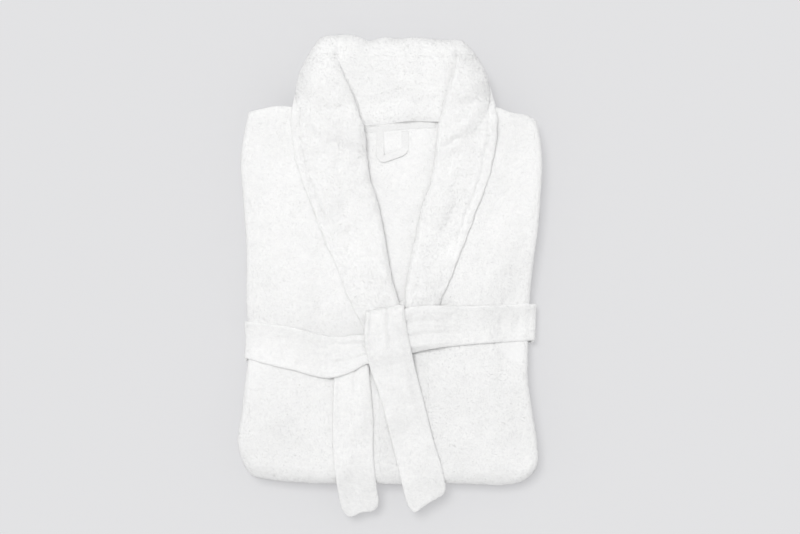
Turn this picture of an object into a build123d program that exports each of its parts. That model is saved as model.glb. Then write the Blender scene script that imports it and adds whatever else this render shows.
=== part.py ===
"""A white terry bathrobe with a shawl collar, folded flat and tied with its own belt.

The robe lies face up. Its sides and sleeves are folded in behind it, its skirt is folded up
behind those, and the tied belt goes round the whole bundle. +X is towards the wearer's left,
+Y towards the collar, +Z up out of the table. Every layer of cloth is a ply of one thickness,
and level(n) is the underside of ply n, counted from the outermost ply of the skirt, which
lies lowest.
"""

import os

from build123d import *

# Cloth, as pressed in the folded bundle.
ply = 2.8  # one layer of terry
gap = 0.3  # air between two layers
pitch = ply + gap
double = 2 * ply + gap  # a doubled piece: lapel, belt, sleeve

# The folded bundle.
bundle_width = 400.0
shoulder_y = 225.0
bottom_y = -283.0  # outside of the fold at the skirt end
skirt_top_y = 215.0  # outside of the skirt's upper fold
hem_run = 157.0  # length of the hem turned back inside
side_fold = 110.0  # how far the sides are folded in behind
shoulder_step = 25.0  # the side folds stop this far below the shoulder line
shoulder_round = 14.0

# Neck opening, a V whose two sides are the lines the lapels roll about.
v_x = 17.0
v_y = -38.0
neck_y = 210.0
neck_x = 14.5  # middle of the back of the neck
neck_half = 53.0
front_overlap = 68.0  # how far the left front runs on under the right one

# Collar.
collar_top_y = 326.0
collar_side_y = 250.0  # height at which the collar starts to round off
collar_reach = 130.0  # half width
collar_corner = 34.0  # how far the collar's top corners are cut in
collar_round = 20.0
collar_fall = 86.0  # the turned-over part at the back, which lies on the table
lapel_cut_y = 14.0  # the lapels turn from here up
lapel_reach = 139.0  # out to the lapel's edge at the shoulder, half width
lapel_foot_right = 74.0  # across the right lapel where it stops turning
lapel_foot_left = 56.0
lapel_mouth = 20.0  # how far the top of the roll spreads outside the neck
lapel_top_y = 300.0
lapel_round = 9.0
wing_inset = 4.0  # the lapels end this far inside the collar's edge
band_foot_width = 34.0  # front band where the belt crosses it

# Belt.
belt_width = 55.0
belt_left_y = -70.0  # middle of the belt at the bundle's left edge
belt_right_y = -93.5
belt_under = 2.8  # pressed flat beneath the bundle
knot_x = -6.0
knot_low_y = -122.0
knot_high_y = -42.0
knot_height = 12.4
knot_round = 5.0
tail_over = 43.0  # how far the tails hang out past the bundle's end
front_tail_slant = 0.265  # sideways run, towards +X, per length down the robe
front_tail_x = 0.5  # middle of the front tail where it leaves the knot
rear_tail_x = -53.0
rear_tail_y = -141.0
tail_bend_radius = 55.0  # of the droop over the bundle's end
tail_droop = 40.0  # degrees

# Sleeves, pockets and small loops.
sleeve_width = 180.0
sleeve_top_y = 195.0
sleeve_clear = 34.0  # from the sleeve's end to the bundle's end
sleeve_cap = 45.0
cuff_depth = 90.0
pocket_width = 155.0
pocket_height = 170.0
pocket_top_y = -72.0
pocket_ply = 2.5
pocket_side = 22.0
belt_loop_width = 10.0
belt_loop_length = 60.0
belt_loop_rise = 78.0  # middle of the belt loop above the bundle's end
tape_width = 10.0
tape_thick = 2.5
loop_strap = 11.0
loop_right_x = -21.0
loop_left_x = 24.0
loop_deep = 46.0  # hang of the loop at its right leg
loop_shallow = 33.0

base = belt_under + gap + pocket_ply + gap
half_width = bundle_width / 2


def level(n):
    """Height of the underside of ply n."""
    return base + n * pitch


# Plies, lowest first. A doubled piece takes the ply named and the one above it.
RIGHT_SKIRT, LEFT_SKIRT, BACK_SKIRT, BACK_HEM, LEFT_HEM, RIGHT_HEM = range(6)
CUFF_UNDER, SLEEVE, CUFF_OVER, FRONT_FLAP, BACK_FLAP = 6, 7, 9, 10, 11
BACK, LEFT_FRONT, RIGHT_FRONT, LAPEL, BELT = 12, 13, 14, 15, 17

fold_radius = (level(RIGHT_FRONT) + ply - level(RIGHT_SKIRT)) / 2
fold_y = bottom_y + fold_radius
hem_radius = (level(RIGHT_HEM) + ply - level(RIGHT_SKIRT)) / 2
hem_fold_y = skirt_top_y - hem_radius
side_low_y = fold_y + ply
side_high_y = shoulder_y - shoulder_step
sleeve_end_y = bottom_y + sleeve_clear
belt_loop_y = bottom_y + belt_loop_rise
tail_end_y = bottom_y - tail_over


def rolled(top_z, low_z, start_y):
    """A layer's side outline: a half turn towards -Y joining a top run to a lower one."""
    return (start_y, top_z), (start_y - (top_z - low_z) / 2, (top_z + low_z) / 2), (start_y, low_z)


def panel_outline(top, low, hem, top_y):
    """Side outline of one panel: on top, round the bottom fold, up behind and in again."""
    outside = rolled(level(top) + ply, level(low), fold_y)
    inside = rolled(level(top), level(low) + ply, fold_y)
    turn = (level(low) + level(hem) + ply) / 2
    outer = turn - level(low)
    hem_y = hem_fold_y - hem_run
    with BuildLine() as outline:
        Line((top_y, level(top) + ply), outside[0])
        ThreePointArc(*outside)
        Line(outside[2], (hem_fold_y, level(low)))
        ThreePointArc(
            (hem_fold_y, level(low)), (hem_fold_y + outer, turn), (hem_fold_y, level(hem) + ply)
        )
        Polyline(
            (hem_fold_y, level(hem) + ply),
            (hem_y, level(hem) + ply),
            (hem_y, level(hem)),
            (hem_fold_y, level(hem)),
        )
        ThreePointArc(
            (hem_fold_y, level(hem)),
            (hem_fold_y + outer - ply, turn),
            (hem_fold_y, level(low) + ply),
        )
        Line((hem_fold_y, level(low) + ply), inside[2])
        ThreePointArc(*inside)
        Polyline(inside[0], (top_y, level(top)), (top_y, level(top) + ply))
    return outline.line


def side_outline(side, edge_x, top, flap):
    """End outline of a side folded in: round the edge at edge_x and back under as a flap."""
    middle = (level(top) + ply + level(flap)) / 2
    turn_x = side * (edge_x - side_radius(top, flap))
    flap_x = side * (edge_x - side_fold)
    with BuildLine() as outline:
        ThreePointArc((turn_x, level(top) + ply), (side * edge_x, middle), (turn_x, level(flap)))
        Polyline(
            (turn_x, level(flap)),
            (flap_x, level(flap)),
            (flap_x, level(flap) + ply),
            (turn_x, level(flap) + ply),
        )
        ThreePointArc(
            (turn_x, level(flap) + ply), (side * (edge_x - ply), middle), (turn_x, level(top))
        )
        Line((turn_x, level(top)), (turn_x, level(top) + ply))
    return outline.line


def side_radius(top, flap):
    """Outside radius of a side fold between these two plies."""
    return (level(top) + ply - level(flap)) / 2


def neck_corner(side):
    """End of the neck seam on this side, where the lapel's roll line meets it."""
    return Vector(neck_x + side * neck_half, neck_y)


def roll_direction(side):
    """Unit vector up along the lapel's roll line on this side."""
    return (neck_corner(side) - Vector(v_x, v_y)).normalized()


def lapel_foot(side):
    """Point of the roll line at which the turning part of the lapel ends."""
    slope = roll_direction(side)
    return Vector(v_x + slope.X / slope.Y * (lapel_cut_y - v_y), lapel_cut_y)


def across_lapel(side):
    """Unit vector square to the roll line, from it towards the bundle's edge."""
    slope = roll_direction(side)
    return Vector(side * slope.Y, -side * slope.X)


def flat(points):
    """X and Y of each point, for a sketch."""
    return [(point.X, point.Y) for point in points]


def save(name, part):
    """Labels a finished piece and writes it as its node's STEP file."""
    part.label = name
    export_step(part, f"parts/{name}.step")
    print(f"{name:20s} {part.volume:12.0f} mm3")


os.makedirs("parts", exist_ok=True)

# Back panel: the middle layer, seen in the V of the neck.
back_edge = half_width - side_radius(RIGHT_FRONT, FRONT_FLAP) + side_radius(BACK, BACK_FLAP) - 2 * gap
back_strip = back_edge - side_radius(BACK, BACK_FLAP)
with BuildPart() as back_panel:
    with BuildSketch(Plane.YZ.offset(-back_strip)):
        make_face(panel_outline(BACK, BACK_SKIRT, BACK_HEM, shoulder_y - gap).edges())
    extrude(amount=2 * back_strip)
    for side in (-1, 1):
        with BuildSketch(Plane.XZ.offset(-side_high_y)):
            make_face(side_outline(side, back_edge, BACK, BACK_FLAP).edges())
        extrude(amount=side_high_y - side_low_y)
save("back_panel", back_panel.part)

# Front panels: the wearer's right front lies over the left one. Nothing of a front lies
# inside its roll line or under the collar.
fronts = {
    "right_front_panel": (-1, RIGHT_FRONT, RIGHT_SKIRT, RIGHT_HEM, v_x),
    "left_front_panel": (1, LEFT_FRONT, LEFT_SKIRT, LEFT_HEM, v_x - front_overlap),
}
for name, (side, top, low, hem, edge_x) in fronts.items():
    strip_x = side * (half_width - side_radius(top, FRONT_FLAP))
    under_collar_x = side * (collar_reach + gap)
    neck = neck_corner(side)
    with BuildPart() as front_panel:
        with BuildSketch(Plane.YZ.offset(min(strip_x, edge_x))):
            make_face(panel_outline(top, low, hem, shoulder_y).edges())
        extrude(amount=abs(strip_x - edge_x))
        with BuildSketch(Plane.XZ.offset(-side_high_y)):
            make_face(side_outline(side, half_width, top, FRONT_FLAP).edges())
        extrude(amount=side_high_y - side_low_y)
        with BuildSketch(Plane.XY.offset(level(BACK) + ply)):
            with BuildLine():
                Polyline(
                    (v_x, v_y),
                    (neck.X, neck.Y - gap),
                    (under_collar_x, neck_y - gap),
                    (under_collar_x, shoulder_y + gap),
                    (-side * half_width, shoulder_y + gap),
                    (-side * half_width, v_y),
                    close=True,
                )
            make_face()
        extrude(amount=level(LAPEL) - level(BACK), mode=Mode.SUBTRACT)
        ends = front_panel.edges().filter_by(Axis.Z).group_by(Axis.Y)[-1].sort_by(Axis.X)
        fillet(ends[0] if side < 0 else ends[-1], shoulder_round)
    save(name, front_panel.part)

# Front bands: the doubled edge of each front, below the part of the lapel that turns.
bands = {
    "right_front_band": (-1, LAPEL, lapel_foot_right),
    "left_front_band": (1, RIGHT_FRONT, lapel_foot_left),
}
for name, (side, under, top_width) in bands.items():
    top_end = lapel_foot(side) - roll_direction(side) * gap
    inner_x = v_x + side * gap
    outer_x = inner_x + side * band_foot_width
    with BuildPart() as band:
        with BuildSketch(Plane.XY.offset(level(under))):
            with BuildLine():
                Polyline(
                    *flat([top_end + across_lapel(side) * gap]),
                    (inner_x, v_y),
                    (inner_x, side_low_y),
                    (outer_x, side_low_y),
                    (outer_x, knot_low_y),
                    *flat([top_end + across_lapel(side) * top_width]),
                    close=True,
                )
            make_face()
        extrude(amount=double)
    save(name, band.part)

# Back collar: the inner layer lies level from the neck seam, rolls over at its top edge and
# comes back underneath as the fall.
collar_z = level(RIGHT_FRONT) + ply
roll_y = collar_top_y - collar_z / 2
fall_y = collar_top_y - collar_fall
with BuildPart() as back_collar:
    with BuildSketch(Plane.YZ.offset(-collar_reach)):
        with BuildLine():
            Line((neck_y, collar_z), (roll_y, collar_z))
            ThreePointArc((roll_y, collar_z), (collar_top_y, collar_z / 2), (roll_y, 0))
            Polyline((roll_y, 0), (fall_y, 0), (fall_y, double), (roll_y, double))
            ThreePointArc(
                (roll_y, double), (collar_top_y - double, collar_z / 2), (roll_y, collar_z - double)
            )
            Polyline(
                (roll_y, collar_z - double), (neck_y, collar_z - double), (neck_y, collar_z)
            )
        make_face()
    extrude(amount=2 * collar_reach)
    with BuildSketch() as collar_plan:
        with BuildLine():
            Polyline(
                (-collar_reach, neck_y),
                (-collar_reach, collar_side_y),
                (-collar_reach + collar_corner, collar_top_y),
                (collar_reach - collar_corner, collar_top_y),
                (collar_reach, collar_side_y),
                (collar_reach, neck_y),
                close=True,
            )
        make_face()
        fillet(collar_plan.vertices().group_by(Axis.Y)[-1], collar_round)
    extrude(amount=collar_z, mode=Mode.INTERSECT)
save("back_collar", back_collar.part)

# Lapels: the turned-out collar from the back of the neck down to the belt. Each can turn up
# about its roll line.
lapels = {"right_lapel": (-1, lapel_foot_right), "left_lapel": (1, lapel_foot_left)}
wing_x = collar_reach - wing_inset
wing_slope = collar_corner / (collar_top_y - collar_side_y)
for name, (side, foot_width) in lapels.items():
    foot = lapel_foot(side)
    neck = neck_corner(side)
    with BuildPart() as lapel:
        with BuildSketch(Plane.XY.offset(level(LAPEL))) as lapel_plan:
            with BuildLine():
                Polyline(
                    *flat([foot, foot + across_lapel(side) * foot_width]),
                    (side * lapel_reach, neck_y),
                    (side * wing_x, collar_side_y),
                    (side * (wing_x - wing_slope * (lapel_top_y - collar_side_y)), lapel_top_y),
                    (neck.X + side * lapel_mouth, lapel_top_y),
                    (neck.X, neck.Y),
                    close=True,
                )
            make_face()
            fillet(lapel_plan.vertices().sort_by(Axis((0, 0, 0), (side, 0, 0)))[-2:], lapel_round)
        extrude(amount=double)
    save(name, lapel.part)

# Neck tape: covers the seam between the collar and the back, across the back of the neck.
tape_end_y = neck_y - gap - tape_width
tape_right = v_x + (neck_corner(-1).X - v_x) * (tape_end_y - v_y) / (neck_y - v_y)
tape_left = v_x + (neck_corner(1).X - v_x) * (tape_end_y - v_y) / (neck_y - v_y)
with BuildPart() as neck_tape:
    with BuildSketch(Plane.XY.offset(level(LEFT_FRONT))):
        with Locations(((tape_right + tape_left) / 2, tape_end_y + tape_width / 2)):
            Rectangle(tape_left - tape_right - 2 * gap, tape_width)
    extrude(amount=tape_thick)
save("neck_tape", neck_tape.part)

# Hanger loop: a strap with both ends sewn in under the tape, hanging down inside the back.
loop_y = tape_end_y - gap
with BuildPart() as hanger_loop:
    with BuildSketch(Plane.XY.offset(level(LEFT_FRONT))):
        with BuildLine():
            Polyline(
                (loop_right_x, loop_y),
                (loop_right_x, loop_y - loop_deep),
                (loop_left_x, loop_y - loop_shallow),
                (loop_left_x, loop_y),
                (loop_left_x - loop_strap, loop_y),
                (loop_left_x - loop_strap, loop_y - loop_shallow + loop_strap),
                (loop_right_x + loop_strap, loop_y - loop_deep + loop_strap),
                (loop_right_x + loop_strap, loop_y),
                close=True,
            )
        make_face()
    extrude(amount=tape_thick)
save("hanger_loop", hanger_loop.part)

# Sleeves, folded in flat behind the back, with a turned-up cuff round the end of each.
for side, word in ((-1, "right"), (1, "left")):
    middle_x = side * (sleeve_width / 2 + gap)
    with BuildPart() as sleeve:
        with BuildSketch(Plane.XY.offset(level(SLEEVE))):
            with Locations((middle_x, (sleeve_top_y + sleeve_end_y) / 2)):
                Rectangle(sleeve_width, sleeve_top_y - sleeve_end_y)
        extrude(amount=double)
        with BuildSketch(Plane.XY.offset(level(SLEEVE))):
            with Locations((middle_x, sleeve_top_y - sleeve_cap / 2)):
                Rectangle(sleeve_width, sleeve_cap)
        extrude(amount=double + pitch)
    save(f"{word}_sleeve", sleeve.part)
    with BuildPart() as cuff:
        with BuildSketch(Plane.YZ.offset(middle_x - sleeve_width / 2)):
            with BuildLine():
                Polyline(
                    (sleeve_end_y + cuff_depth, level(CUFF_UNDER)),
                    (sleeve_end_y - pitch, level(CUFF_UNDER)),
                    (sleeve_end_y - pitch, level(CUFF_OVER) + ply),
                    (sleeve_end_y + cuff_depth, level(CUFF_OVER) + ply),
                    (sleeve_end_y + cuff_depth, level(CUFF_OVER)),
                    (sleeve_end_y - gap, level(CUFF_OVER)),
                    (sleeve_end_y - gap, level(CUFF_UNDER) + ply),
                    (sleeve_end_y + cuff_depth, level(CUFF_UNDER) + ply),
                    close=True,
                )
            make_face()
        extrude(amount=sleeve_width)
    save(f"{word}_cuff", cuff.part)
    # Patch pocket: on the outside of the skirt, so underneath once that is folded up.
    with BuildPart() as pocket:
        with BuildSketch(Plane.XY.offset(belt_under + gap)):
            with Locations((
                side * (half_width - pocket_side - pocket_width / 2),
                pocket_top_y + pocket_height / 2,
            )):
                Rectangle(pocket_width, pocket_height)
        extrude(amount=pocket_ply)
    save(f"{word}_pocket", pocket.part)
    # Belt loop: a narrow strip sewn along the side seam, which lies at the end of the flap.
    with BuildPart() as belt_loop:
        with BuildSketch(Plane.XY.offset(level(FRONT_FLAP))):
            with Locations((
                side * (half_width - side_fold - gap - belt_loop_width / 2),
                belt_loop_y,
            )):
                Rectangle(belt_loop_width, belt_loop_length)
        extrude(amount=ply)
    save(f"{word}_belt_loop", belt_loop.part)

# Belt wrap: the doubled strip that goes round the whole bundle, a little askew.
wrap_in = half_width + gap
wrap_out = wrap_in + double
wrap_top = level(BELT) + double
wrap_round = fold_radius / 2
with BuildPart() as belt_wrap:
    with BuildSketch(Plane.XZ):
        with Locations((0, wrap_top / 2)):
            RectangleRounded(2 * wrap_out, wrap_top, wrap_round)
        with Locations((0, (belt_under + level(BELT)) / 2)):
            RectangleRounded(
                2 * wrap_in, level(BELT) - belt_under, wrap_round - double, mode=Mode.SUBTRACT
            )
    extrude(amount=bundle_width, both=True)
    with BuildSketch():
        with BuildLine():
            Polyline(
                (-wrap_out, belt_right_y - belt_width / 2),
                (wrap_out, belt_left_y - belt_width / 2),
                (wrap_out, belt_left_y + belt_width / 2),
                (-wrap_out, belt_right_y + belt_width / 2),
                close=True,
            )
        make_face()
    extrude(amount=wrap_top, mode=Mode.INTERSECT)
save("belt_wrap", belt_wrap.part)

# Belt knot: the flat pass of the belt over its own wrap.
with BuildPart() as belt_knot:
    with BuildSketch(Plane.XY.offset(wrap_top + gap)) as knot_plan:
        with Locations((knot_x, (knot_low_y + knot_high_y) / 2)):
            Rectangle(belt_width, knot_high_y - knot_low_y)
        fillet(knot_plan.vertices(), knot_round)
    extrude(amount=knot_height - double)
save("belt_knot", belt_knot.part)


def tail_outline(start_y, under_z):
    """Side outline of a belt tail: level, then bent down past the end of the bundle."""
    with BuildLine() as outline:
        lower = Line((fold_y, under_z), (start_y, under_z))
        centre = (fold_y, under_z - tail_bend_radius)
        inner = CenterArc(centre, tail_bend_radius, 90, tail_droop)
        outer = CenterArc(centre, tail_bend_radius + double, 90, tail_droop)
        slope = inner % 1
        length = (inner @ 1).X - tail_end_y
        end_in = (inner @ 1) + slope * length / abs(slope.X)
        end_out = (outer @ 1) + slope * length / abs(slope.X)
        Polyline(inner @ 1, end_in, end_out, outer @ 1)
        Polyline(outer @ 0, (start_y, under_z + double), lower @ 1)
    return outline.line


# Belt tails: the two free ends. The front one comes down out of the knot over everything;
# the rear one comes out from under the right-hand wrap. Each can be lifted at its upper end.
tails = {
    "belt_front_tail": (front_tail_x, knot_low_y - gap, level(BELT), front_tail_slant),
    "belt_rear_tail": (rear_tail_x, rear_tail_y, level(LAPEL), 0),
}
for name, (start_x, start_y, under_z, slant) in tails.items():
    end_x = start_x + slant * (start_y - tail_end_y)
    with BuildPart() as tail:
        with BuildSketch(Plane.YZ.offset(min(start_x, end_x) - belt_width)):
            make_face(tail_outline(start_y, under_z).edges())
        extrude(amount=abs(end_x - start_x) + 2 * belt_width)
        with BuildSketch():
            with BuildLine():
                Polyline(
                    (start_x - belt_width / 2, start_y),
                    (end_x - belt_width / 2, tail_end_y),
                    (end_x + belt_width / 2, tail_end_y),
                    (start_x + belt_width / 2, start_y),
                    close=True,
                )
            make_face()
        extrude(amount=level(BELT) + double, mode=Mode.INTERSECT)
    save(name, tail.part)
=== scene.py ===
"""A white terry bathrobe with a shawl collar, folded flat, lying face up and tied with its belt.

Shapes are worked out in millimetres in the robe's own frame (+X towards the wearer's left, +Y
towards the collar, +Z up) and become metres when the mesh is made.
"""

import bpy
import numpy as np
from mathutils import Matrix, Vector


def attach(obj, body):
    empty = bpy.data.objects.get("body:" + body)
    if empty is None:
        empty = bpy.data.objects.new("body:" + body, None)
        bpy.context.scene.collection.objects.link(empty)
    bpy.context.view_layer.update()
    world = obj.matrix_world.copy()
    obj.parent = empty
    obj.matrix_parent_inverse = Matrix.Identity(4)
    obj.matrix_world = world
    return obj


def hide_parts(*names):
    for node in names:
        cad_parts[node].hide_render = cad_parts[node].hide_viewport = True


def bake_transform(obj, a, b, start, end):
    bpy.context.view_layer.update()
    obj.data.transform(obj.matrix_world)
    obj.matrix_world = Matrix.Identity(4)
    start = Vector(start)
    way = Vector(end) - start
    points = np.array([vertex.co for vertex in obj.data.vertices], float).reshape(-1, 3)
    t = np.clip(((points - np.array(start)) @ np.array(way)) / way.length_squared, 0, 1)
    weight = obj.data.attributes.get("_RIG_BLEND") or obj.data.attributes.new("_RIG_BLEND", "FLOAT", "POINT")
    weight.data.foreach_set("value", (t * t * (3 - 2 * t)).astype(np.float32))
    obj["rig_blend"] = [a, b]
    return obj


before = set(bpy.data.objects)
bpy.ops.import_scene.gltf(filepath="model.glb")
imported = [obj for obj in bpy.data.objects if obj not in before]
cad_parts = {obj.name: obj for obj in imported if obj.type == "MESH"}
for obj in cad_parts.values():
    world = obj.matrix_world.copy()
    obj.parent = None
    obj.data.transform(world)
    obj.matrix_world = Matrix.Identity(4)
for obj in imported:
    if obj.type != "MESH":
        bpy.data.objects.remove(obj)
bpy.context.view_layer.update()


# Back panel. One length of cotton terry from the shoulders to the hem, cut wide. It is folded
# in at both sides, folded up behind at the skirt and turned in again at the hem, and shows in
# the V of the neck. Every other panel of the robe is cut and folded the same way.


def ripple(x, y, size, seed):
    """Soft unevenness between about -1 and 1: the sum of twelve sine waves, each in its own
    direction, with lengths from 0.7 to 1.3 times size."""
    waves = np.random.default_rng(seed).uniform(size=(12, 3))
    total = np.zeros(np.broadcast(x, y).shape)
    for turn, phase, stretch in waves:
        across = x * np.cos(2 * np.pi * turn) + y * np.sin(2 * np.pi * turn)
        total += np.sin(2 * np.pi * (across / (size * (0.7 + 0.6 * stretch)) + phase))
    return total / 5


def through(x, places, values):
    """The smooth curve through values at places: cubic pieces, each with the mean of the
    neighbouring chords' slopes at its ends, and level beyond the last place on each side."""
    places, values = np.array(places, float), np.array(values, float)
    slope = np.gradient(values, places)
    i = np.clip(np.searchsorted(places, x) - 1, 0, len(places) - 2)
    wide = places[i + 1] - places[i]
    f = np.clip((x - places[i]) / wide, 0, 1)
    rise = f * f * (3 - 2 * f)
    bend = f * (1 - f)
    return (
        values[i] * (1 - rise)
        + values[i + 1] * rise
        + wide * bend * ((1 - f) * slope[i] - f * slope[i + 1])
    )


def ease(x, start, end):
    """0 before start, 1 after end, and the smooth step 3f^2 - 2f^3 between them."""
    f = np.clip((x - start) / (end - start), 0, 1)
    return f * f * (3 - 2 * f)


def bell(off, wide):
    """A bell curve, exp(-(off / wide)^2): 1 at 0, and nearly 0 past twice the width."""
    return np.exp(-((off / wide) ** 2))


def crease(x, y, a, b, wide, rise):
    """A soft ridge (or groove, where rise is negative) along the line from a to b: a bell curve
    across it, fading out over the last third at each end."""
    a, b = np.array(a, float), np.array(b, float)
    run = b - a
    length = np.hypot(*run)
    f = ((x - a[0]) * run[0] + (y - a[1]) * run[1]) / length**2
    off = ((x - a[0]) * run[1] - (y - a[1]) * run[0]) / length
    return rise * bell(off, wide) * ease(f, 0, 0.33) * (1 - ease(f, 0.67, 1))


def belt_middle(x):
    """Y of the belt's middle line across the top of the bundle."""
    return through(
        x, [-206, -140, -80, -38, 28, 100, 206], [-91, -102, -114, -104, -77, -71, -67]
    )


HALF_WIDTH = 200  # of the folded bundle
SKIRT_Y = -283  # the bundle's end at the skirt's fold
SHOULDER_Y = 225  # and at the shoulders
TABLE_PLY = 6  # below this height the cloth lies flat on the table
FULL_RELIEF = 46  # this much above it the relief is whole
# Creases in the fronts: from, to, width and height, which is negative for a groove.
front_creases = (
    ((-205, 45), (-165, -50), 16, -3.0),
    ((200, 0), (160, -45), 18, -2.4),
    ((150, -100), (195, -125), 16, -2.4),
    ((-85, 120), (-60, -40), 12, 1.6),
    ((-125, 60), (-80, -60), 16, -1.6),
    ((-190, 30), (-95, -66), 14, 1.6),
    ((-175, -66), (-120, 70), 12, -1.2),
    ((190, 40), (90, -40), 15, 1.6),
    ((150, 120), (105, -30), 13, -1.4),
    ((60, -110), (150, -230), 14, 1.5),
    ((105, -100), (185, -150), 14, -2.4),
    ((70, -190), (150, -215), 16, -2.2),
    ((-110, -140), (-180, -230), 14, 1.5),
    ((-95, -150), (-120, -270), 14, -2.0),
)


def settle(points):
    """Gives the flat stack of layers the lie of soft cloth. The outline is scaled in x to the
    bundle's wavy sides and in y to its rounded ends, and the height of each point changes by
    the relief, in full on top and not at all at the table. The relief is the sum of bell curves
    and smooth steps: the sides and the skirt's end are pressed down, the belt lies in a valley
    with a swell on each side, and ripples and creases run over all of it."""
    x, y, z = points[..., 0], points[..., 1], points[..., 2]
    right_side = through(
        y,
        [-283, -262, -235, -190, -150, -100, -45, 40, 110, 160, 200, 225],
        [198, 206, 212, 206, 202, 197, 200, 200, 205, 208, 202, 197],
    )
    left_side = through(
        y,
        [-283, -262, -235, -190, -140, -100, -45, 0, 60, 110, 160, 200, 225],
        [197, 202, 201, 194, 188, 189, 191, 194, 202, 206, 208, 204, 199],
    )
    side = np.where(x < 0, right_side, left_side) / HALF_WIDTH
    outward = np.minimum(np.abs(x) / HALF_WIDTH, 1)
    x_new = x * (1 + (side - 1) * outward**2)
    low_end = through(
        x, [-206, -195, -168, -120, 0, 120, 160, 185, 200], [14, 5, -2, -6, -8, -12, -13, -6, 7]
    )
    high_end = through(
        x, [-206, -190, -150, -126, 126, 145, 165, 185, 200], [-4, 0, 6, 2, 2, 4, -3, -6, -13]
    )
    y_new = y + low_end * np.clip(y / SKIRT_Y, 0, 1) ** 5
    y_new = y_new + high_end * np.clip(y / SHOULDER_Y, 0, 1) ** 5
    from_belt = y - belt_middle(x)
    relief = (
        -(6.0 + 8.0 * bell(from_belt, 75)) * outward**5
        - 3.8 * ease(-y, 185, -SKIRT_Y + 2) * (1 - 0.4 * outward)
        - 4.5 * bell(from_belt, 80) * ease(x, 130, HALF_WIDTH)
        - 7.5 * bell(from_belt, 38) * (1 - 0.5 * bell(x, 60))
        - 4.5 * bell(from_belt, 62) * ease(np.abs(x), 110, 190)
        + 1.8 * bell(from_belt - 75, 50)
        + 1.8 * bell(from_belt + 75, 50)
        + 1.8 * ripple(x, y, 130, 3)
        + 1.4 * ripple(x, y, 62, 4)
        + 0.4 * ripple(x, y, 30, 5)
    )
    for a, b, wide, rise in front_creases:
        relief = relief + crease(x, y, a, b, wide, rise)
    # The shoulders, beside the collar, round down by 9 mm over their last 14 mm.
    over_end = np.clip((y - (SHOULDER_Y - 14)) / 15, 0, 0.97)
    rounded = 9 * (1 - np.sqrt(1 - over_end**2)) * ease(np.abs(x), 140, 150) * ease(z, 30, 36)
    z_new = z + relief * np.clip((z - TABLE_PLY) / FULL_RELIEF, 0, 1.1) - rounded
    return np.stack([x_new, y_new, z_new], axis=-1)


def steps(length, size, lip=1.6):
    """Distances from 0 to length about size apart, and closer at both ends, where an edge
    rounds over."""
    near = lip * np.array([0, 0.12, 0.45])
    count = max(int(length / size), 3)
    return np.concatenate([near, np.linspace(lip, length - lip, count), length - near[::-1]])


def edge_distance(points, ring):
    """How far each point of a grid is from the grid's nearest edge, measured along its rows and
    columns."""
    nearest = np.full(points.shape[:2], np.inf)
    for axis in (1,) if ring else (0, 1):
        step = np.linalg.norm(np.diff(points, axis=axis), axis=2)
        run = np.cumsum(step, axis=axis)
        run = np.insert(run, 0, 0, axis=axis)
        whole = run.take([-1], axis=axis)
        nearest = np.minimum(nearest, np.minimum(run, whole - run))
    return nearest


def cloth(name, middle, thick, seed, nap=0.22, ring=False):
    """A closed sheet of terry about its middle surface, given as a grid of points. Each face
    stands half the thickness off it along the normal, times the quarter circle
    sqrt(1 - (1 - d/r)^2) within r of the edge, and the loops' unevenness is added at random.
    With ring, the first row follows the last. A flat layout of both faces is the bake map."""
    rows, columns = middle.shape[:2]
    around = np.concatenate([middle[-1:], middle, middle[:1]]) if ring else middle
    down = np.gradient(around, axis=0)
    down = down[1:-1] if ring else down
    normal = np.cross(down, np.gradient(middle, axis=1))
    normal /= np.linalg.norm(normal, axis=2, keepdims=True)
    half = np.broadcast_to(np.asarray(thick, float) / 2, (rows, columns))
    edge = np.clip(edge_distance(middle, ring) / np.maximum(half, 0.1), 0, 1)
    rounding = np.sqrt(1 - (1 - edge) ** 2)
    rough = np.random.default_rng(seed).normal(scale=nap, size=(3, rows, columns))
    over = middle + normal * (half * rounding + rough[0])[..., None]
    under = middle - normal * (half * rounding + rough[1])[..., None]

    inner = slice(None) if ring else slice(1, -1)
    over_at = np.arange(rows * columns).reshape(rows, columns)
    under_at = over_at.copy()
    count = under_at[inner, 1:-1].size
    under_at[inner, 1:-1] = rows * columns + np.arange(count).reshape(-1, columns - 2)
    points = np.concatenate([over.reshape(-1, 3), under[inner, 1:-1].reshape(-1, 3)])
    if ring:
        over_at = np.vstack([over_at, over_at[:1]])
        under_at = np.vstack([under_at, under_at[:1]])

    def quads(at):
        corners = [at[:-1, :-1], at[1:, :-1], at[1:, 1:], at[:-1, 1:]]
        return np.stack(corners, axis=-1).reshape(-1, 4)

    faces = np.concatenate([quads(over_at), quads(under_at)[:, ::-1]])
    v, u = np.meshgrid(
        np.linspace(0.01, 0.99, over_at.shape[0]),
        np.linspace(0.005, 0.49, over_at.shape[1]),
        indexing="ij",
    )
    place = np.stack([u, v], axis=-1).reshape(-1, 2)
    cell = quads(np.arange(len(place)).reshape(over_at.shape))
    layout = np.concatenate([place[cell], place[cell[:, ::-1]] + (0.505, 0)])

    mesh = bpy.data.meshes.new(name)
    mesh.from_pydata(points * 0.001, [], faces)
    mesh.shade_smooth()
    mesh.uv_layers.new(name="OFBake").data.foreach_set("uv", layout.astype(np.float32).ravel())
    piece = bpy.data.objects.new(name, mesh)
    bpy.context.scene.collection.objects.link(piece)
    return piece


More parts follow.
